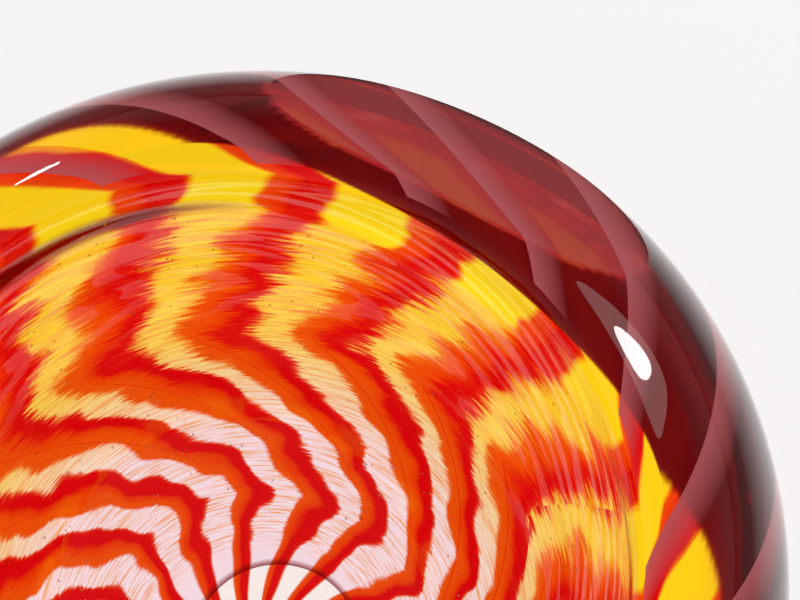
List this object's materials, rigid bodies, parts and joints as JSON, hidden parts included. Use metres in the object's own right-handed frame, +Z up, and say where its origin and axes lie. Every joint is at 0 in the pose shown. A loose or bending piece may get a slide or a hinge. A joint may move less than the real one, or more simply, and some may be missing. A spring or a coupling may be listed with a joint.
{
  "type": "art glass bowl",
  "caption": "Thick-walled cased glass bowl with combed red and amber canes in a chevron, a cranberry overlay and one polished facet.",
  "frame": {"origin": "centre of the ground foot disc, on the surface the bowl stands on", "axes": "+Z up through the mouth; the facet and the thick side of the wall face 54 degrees round from +X towards +Y"},
  "size_m": [0.22, 0.22, 0.106],
  "materials": {
    "clear_glass": "fire-polished, faintly pink",
    "cranberry_glass": "fire-polished, thin transparent overlay",
    "red_glass": "opaque red glass, sealed inside",
    "amber_glass": "transparent amber glass, sealed inside"
  },
  "bodies": {
    "root": {"inner_lining": "clear_glass", "clear_casing": "clear_glass", "cranberry_overlay": "cranberry_glass", "red_cane_01": "red_glass", "red_cane_02": "red_glass", "red_cane_03": "red_glass", "red_cane_04": "red_glass", "red_cane_05": "red_glass", "red_cane_06": "red_glass", "red_cane_07": "red_glass", "red_cane_08": "red_glass", "red_cane_09": "red_glass", "red_cane_10": "red_glass", "red_cane_11": "red_glass", "red_cane_12": "red_glass", "red_cane_13": "red_glass", "red_cane_14": "red_glass", "red_cane_15": "red_glass", "red_cane_16": "red_glass", "amber_cane_01": "amber_glass", "amber_cane_02": "amber_glass", "amber_cane_03": "amber_glass", "amber_cane_04": "amber_glass", "amber_cane_05": "amber_glass", "amber_cane_06": "amber_glass", "amber_cane_07": "amber_glass", "amber_cane_08": "amber_glass", "amber_cane_09": "amber_glass", "amber_cane_10": "amber_glass", "amber_cane_11": "amber_glass", "amber_cane_12": "amber_glass", "amber_cane_13": "amber_glass", "amber_cane_14": "amber_glass", "amber_cane_15": "amber_glass", "amber_cane_16": "amber_glass"}
  },
  "joints": []
}
